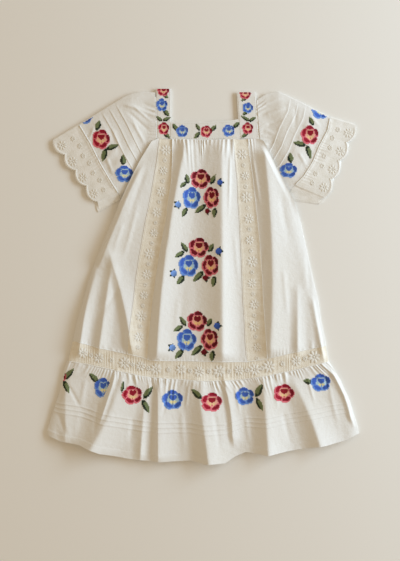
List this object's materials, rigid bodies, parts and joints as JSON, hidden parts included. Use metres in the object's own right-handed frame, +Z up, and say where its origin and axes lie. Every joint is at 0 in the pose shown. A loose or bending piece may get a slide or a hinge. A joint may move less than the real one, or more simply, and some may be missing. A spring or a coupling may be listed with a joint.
{
  "type": "embroidered dress",
  "caption": "Flared child's dress laid flat: square neck with straps, puffed lace-edged sleeves, gathered body with lace strips, and a pin-tucked ruffle.",
  "frame": {"origin": "centre of the dress's outline, on the surface that it lies on", "axes": "+Y from the hem towards the neck, +X to the right of someone who looks down at the front, +Z up from the surface"},
  "size_m": [0.4356, 0.5249, 0.0179],
  "materials": {
    "cotton": "plain woven cream cotton",
    "lace": "cream cotton net lace with raised flowers",
    "embroidery_red": "cross-stitched cotton thread",
    "embroidery_blue": "cross-stitched cotton thread",
    "embroidery_green": "cross-stitched cotton thread"
  },
  "bodies": {
    "root": {"strap_left": "cotton", "strap_right": "cotton", "front_band": "cotton", "back_band": "cotton", "front_centre": "cotton", "front_side_left": "cotton", "front_side_right": "cotton", "back_skirt": "cotton", "ruffle_front": "cotton", "ruffle_back": "cotton", "sleeve_left": "cotton", "sleeve_right": "cotton", "insertion_left": "lace", "insertion_right": "lace", "lace_band_front": "lace", "lace_band_back": "lace", "sleeve_lace_left": "lace", "sleeve_lace_right": "lace"}
  },
  "joints": []
}
